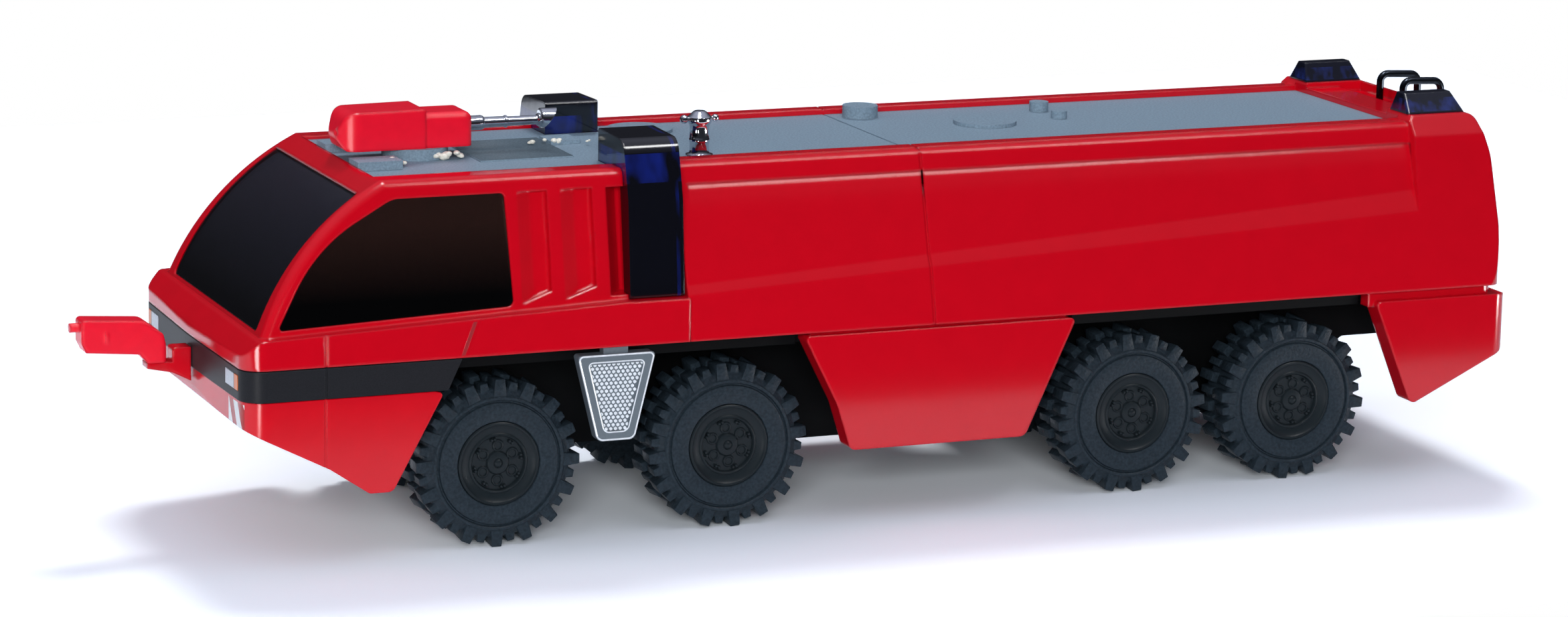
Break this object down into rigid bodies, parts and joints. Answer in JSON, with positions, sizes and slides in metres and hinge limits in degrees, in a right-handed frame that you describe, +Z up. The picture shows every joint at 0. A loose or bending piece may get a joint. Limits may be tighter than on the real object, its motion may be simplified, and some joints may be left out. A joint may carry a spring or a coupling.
{
  "type": "1:87 scale model of an 8x8 airport fire truck",
  "caption": "Small plastic scale model of an eight-wheeled airport crash tender with raked cab, long tank body, swivelling roof and bumper monitors and rolling axles.",
  "frame": {"origin": "on the ground under the middle of the overall outline", "axes": "+X to the front of the truck, +Y to its left side, +Z up"},
  "size_m": [0.1414, 0.0344, 0.0389],
  "materials": {
    "red_plastic": "glossy moulded red plastic",
    "tinted_glazing": "smoked clear plastic",
    "dark_grey_plastic": "matt dark grey plastic",
    "silver_print": "printed silver lamp",
    "grey_plastic": "satin mid grey plastic",
    "black_plastic": "matt black plastic",
    "blue_lens": "dark blue clear plastic",
    "chrome_plating": "bright vacuum chrome",
    "steel_pin": "plain steel",
    "rim_plastic": "semi-gloss near black plastic",
    "tyre_rubber": "matt blue-grey rubbery plastic"
  },
  "bodies": {
    "truck_body": {"cab_shell": "red_plastic", "windscreen": "tinted_glazing", "side_window_left": "tinted_glazing", "side_window_right": "tinted_glazing", "bumper_band": "dark_grey_plastic", "front_lamp_left": "silver_print", "front_lamp_right": "silver_print", "front_apron": "red_plastic", "cab_deck": "grey_plastic", "cab_interior": "black_plastic", "front_beacon_left": "blue_lens", "front_beacon_right": "blue_lens", "tank_body": "red_plastic", "tank_deck": "grey_plastic", "chrome_post": "chrome_plating", "rear_beacon_left": "blue_lens", "rear_beacon_right": "blue_lens", "rear_ladder": "black_plastic", "side_locker_left": "red_plastic", "side_locker_right": "red_plastic", "rear_bumper": "red_plastic", "step_left": "chrome_plating", "step_right": "chrome_plating", "chassis": "black_plastic", "bumper_bracket": "red_plastic"},
    "roof_monitor": {"roof_monitor_housing": "red_plastic", "roof_monitor_barrel": "chrome_plating"},
    "bumper_monitor": {"bumper_monitor": "red_plastic"},
    "axle_1": {"axle_1": "steel_pin", "rim_1_left": "rim_plastic", "rim_1_right": "rim_plastic", "tyre_1_left": "tyre_rubber", "tyre_1_right": "tyre_rubber"},
    "axle_2": {"axle_2": "steel_pin", "rim_2_left": "rim_plastic", "rim_2_right": "rim_plastic", "tyre_2_left": "tyre_rubber", "tyre_2_right": "tyre_rubber"},
    "axle_3": {"axle_3": "steel_pin", "rim_3_left": "rim_plastic", "rim_3_right": "rim_plastic", "tyre_3_left": "tyre_rubber", "tyre_3_right": "tyre_rubber"},
    "axle_4": {"axle_4": "steel_pin", "rim_4_left": "rim_plastic", "rim_4_right": "rim_plastic", "tyre_4_left": "tyre_rubber", "tyre_4_right": "tyre_rubber"}
  },
  "joints": [
    {"name": "roof_monitor_swivel", "type": "hinge", "parent": "truck_body", "child": "roof_monitor", "pos_m": [0.03783, 0, 0.03525], "axis": [0, 0, 1], "continuous": true},
    {"name": "bumper_monitor_swivel", "type": "hinge", "parent": "truck_body", "child": "bumper_monitor", "pos_m": [0.06283, 0, 0.01635], "axis": [0, 0, 1], "range_deg": [-60, 60]},
    {"name": "axle_1_spin", "type": "hinge", "parent": "truck_body", "child": "axle_1", "pos_m": [0.03453, 0, 0.0079], "axis": [0, 1, 0], "continuous": true},
    {"name": "axle_2_spin", "type": "hinge", "parent": "truck_body", "child": "axle_2", "pos_m": [0.01188, 0, 0.0079], "axis": [0, 1, 0], "continuous": true},
    {"name": "axle_3_spin", "type": "hinge", "parent": "truck_body", "child": "axle_3", "pos_m": [-0.03027, 0, 0.0079], "axis": [0, 1, 0], "continuous": true},
    {"name": "axle_4_spin", "type": "hinge", "parent": "truck_body", "child": "axle_4", "pos_m": [-0.04787, 0, 0.0079], "axis": [0, 1, 0], "continuous": true}
  ]
}
